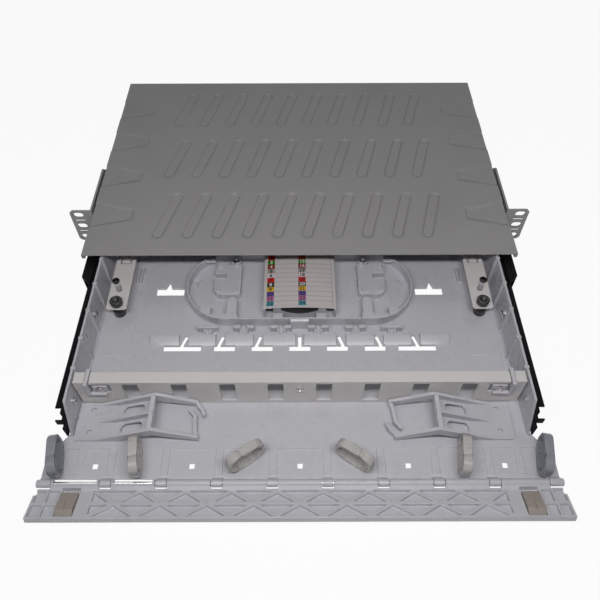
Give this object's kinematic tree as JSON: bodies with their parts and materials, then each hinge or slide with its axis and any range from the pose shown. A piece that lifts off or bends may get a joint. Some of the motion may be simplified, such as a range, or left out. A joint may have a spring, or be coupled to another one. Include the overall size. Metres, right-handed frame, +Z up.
{
  "type": "fibre termination box",
  "caption": "Rack-mount fibre termination drawer: embossed cover, telescopic slides, adapter panel, splice cassette, cord guides, swivel cord rings and hinged front flap.",
  "frame": {"origin": "centre of the rack hole pattern, on the rear face of the ears that meets the rack posts", "axes": "+X to the right seen from the front, +Y to the back along the drawer's travel, +Z up"},
  "size_m": [0.4826, 0.5393, 0.044],
  "materials": {
    "cover_paint": "textured grey powder coat",
    "slide_black": "black coat, semi-gloss",
    "tray_white": "moulded, semi-gloss",
    "panel_cream": "smooth powder coat",
    "ring_clear": "natural translucent plastic",
    "latch_beige": "moulded, matt",
    "rod_steel": "bright drawn wire",
    "card_paper": "printed card",
    "holder_rubber": "soft black",
    "knob_black": "glossy black",
    "screw_dark": "dark plated",
    "screw_bright": "bright plated"
  },
  "bodies": {
    "housing": {"top_cover": "cover_paint", "rack_bracket_left": "cover_paint", "rack_bracket_right": "cover_paint", "bracket_screws": "screw_bright", "outer_slide_left": "slide_black", "outer_slide_right": "slide_black"},
    "middle_slides": {"middle_slide_left": "slide_black", "middle_slide_right": "slide_black"},
    "drawer": {"tray": "tray_white", "inner_slide_left": "slide_black", "inner_slide_right": "slide_black", "slide_screws": "screw_bright", "adapter_panel": "panel_cream", "panel_screws": "screw_dark", "corner_plate_left": "panel_cream", "corner_plate_right": "panel_cream", "plate_knobs": "knob_black", "plate_screws": "screw_dark", "cord_guide_left": "tray_white", "cord_guide_right": "tray_white", "splice_cassette": "tray_white", "splice_holder": "holder_rubber", "label_card": "card_paper", "cassette_screws": "screw_dark", "hinge_rod": "rod_steel"},
    "flap": {"flap": "tray_white"},
    "latch_left": {"latch_left": "latch_beige"},
    "latch_right": {"latch_right": "latch_beige"},
    "cord_ring_outer_left": {"cord_ring_outer_left": "ring_clear"},
    "cord_ring_outer_right": {"cord_ring_outer_right": "ring_clear"},
    "cord_ring_mid_left": {"cord_ring_mid_left": "ring_clear"},
    "cord_ring_mid_right": {"cord_ring_mid_right": "ring_clear"},
    "cord_ring_inner_left": {"cord_ring_inner_left": "ring_clear"},
    "cord_ring_inner_right": {"cord_ring_inner_right": "ring_clear"}
  },
  "joints": [
    {"name": "drawer_slide", "type": "slide", "parent": "housing", "child": "drawer", "axis": [0, 1, 0], "range_m": [0, 0.21]},
    {"name": "middle_slide_run", "type": "slide", "parent": "housing", "child": "middle_slides", "axis": [0, 1, 0], "range_m": [0, 0.105]},
    {"name": "flap_hinge", "type": "hinge", "parent": "drawer", "child": "flap", "pos_m": [0, -0.2783, -0.0165], "axis": [-1, 0, 0], "range_deg": [0, 71]},
    {"name": "latch_slide_left", "type": "slide", "parent": "flap", "child": "latch_left", "axis": [0, 0.9455, -0.3256], "range_m": [0, 0.004], "stiffness_N_per_m": 250},
    {"name": "latch_slide_right", "type": "slide", "parent": "flap", "child": "latch_right", "axis": [0, 0.9455, -0.3256], "range_m": [0, 0.004], "stiffness_N_per_m": 250},
    {"name": "ring_turn_outer_left", "type": "hinge", "parent": "drawer", "child": "cord_ring_outer_left", "pos_m": [-0.2025, -0.2585, -0.0205], "axis": [0, 0, 1], "range_deg": [-100, 80]},
    {"name": "ring_turn_outer_right", "type": "hinge", "parent": "drawer", "child": "cord_ring_outer_right", "pos_m": [0.2025, -0.2585, -0.0205], "axis": [0, 0, 1], "range_deg": [-80, 100]},
    {"name": "ring_turn_mid_left", "type": "hinge", "parent": "drawer", "child": "cord_ring_mid_left", "pos_m": [-0.1362, -0.2585, -0.0205], "axis": [0, 0, 1], "range_deg": [-98, 82]},
    {"name": "ring_turn_mid_right", "type": "hinge", "parent": "drawer", "child": "cord_ring_mid_right", "pos_m": [0.1362, -0.2585, -0.0205], "axis": [0, 0, 1], "range_deg": [-82, 98]},
    {"name": "ring_turn_inner_left", "type": "hinge", "parent": "drawer", "child": "cord_ring_inner_left", "pos_m": [-0.0454, -0.2585, -0.0205], "axis": [0, 0, 1], "range_deg": [-35, 145]},
    {"name": "ring_turn_inner_right", "type": "hinge", "parent": "drawer", "child": "cord_ring_inner_right", "pos_m": [0.0454, -0.2585, -0.0205], "axis": [0, 0, 1], "range_deg": [-145, 35]}
  ],
  "couplings": [
    {"joint": "middle_slide_run", "follows": "drawer_slide", "ratio": 0.5}
  ]
}
